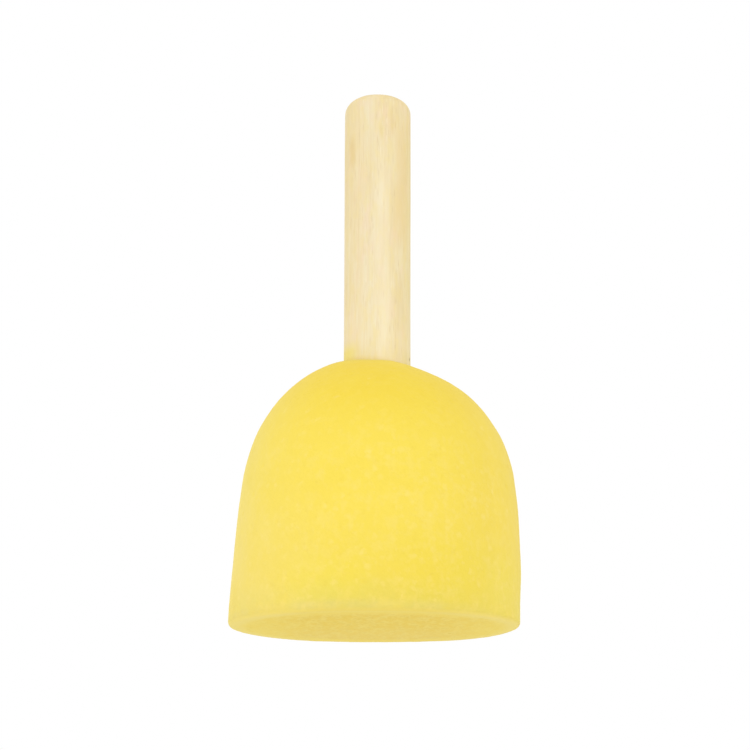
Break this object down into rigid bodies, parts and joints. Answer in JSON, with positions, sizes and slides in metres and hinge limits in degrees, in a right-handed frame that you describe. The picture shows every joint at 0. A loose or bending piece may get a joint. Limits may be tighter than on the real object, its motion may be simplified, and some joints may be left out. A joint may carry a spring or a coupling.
{
  "type": "foam sponge brush",
  "caption": "Dabbing sponge brush for paint: a dense dome-shaped foam head with a flat working face, glued onto a short round wooden dowel handle.",
  "frame": {"origin": "centre of the flat foam working face", "axes": "+Z along the handle, from the working face to the handle's free end; the design is round about Z, so +X and +Y are any two directions across the face"},
  "size_m": [0.05, 0.05, 0.1],
  "materials": {
    "foam": "matte, fine-celled yellow foam",
    "wood": "bare sanded pale wood",
    "glue": "translucent cured adhesive"
  },
  "bodies": {
    "root": {"foam_head": "foam", "wooden_handle": "wood", "glue_bond": "glue"}
  },
  "joints": []
}
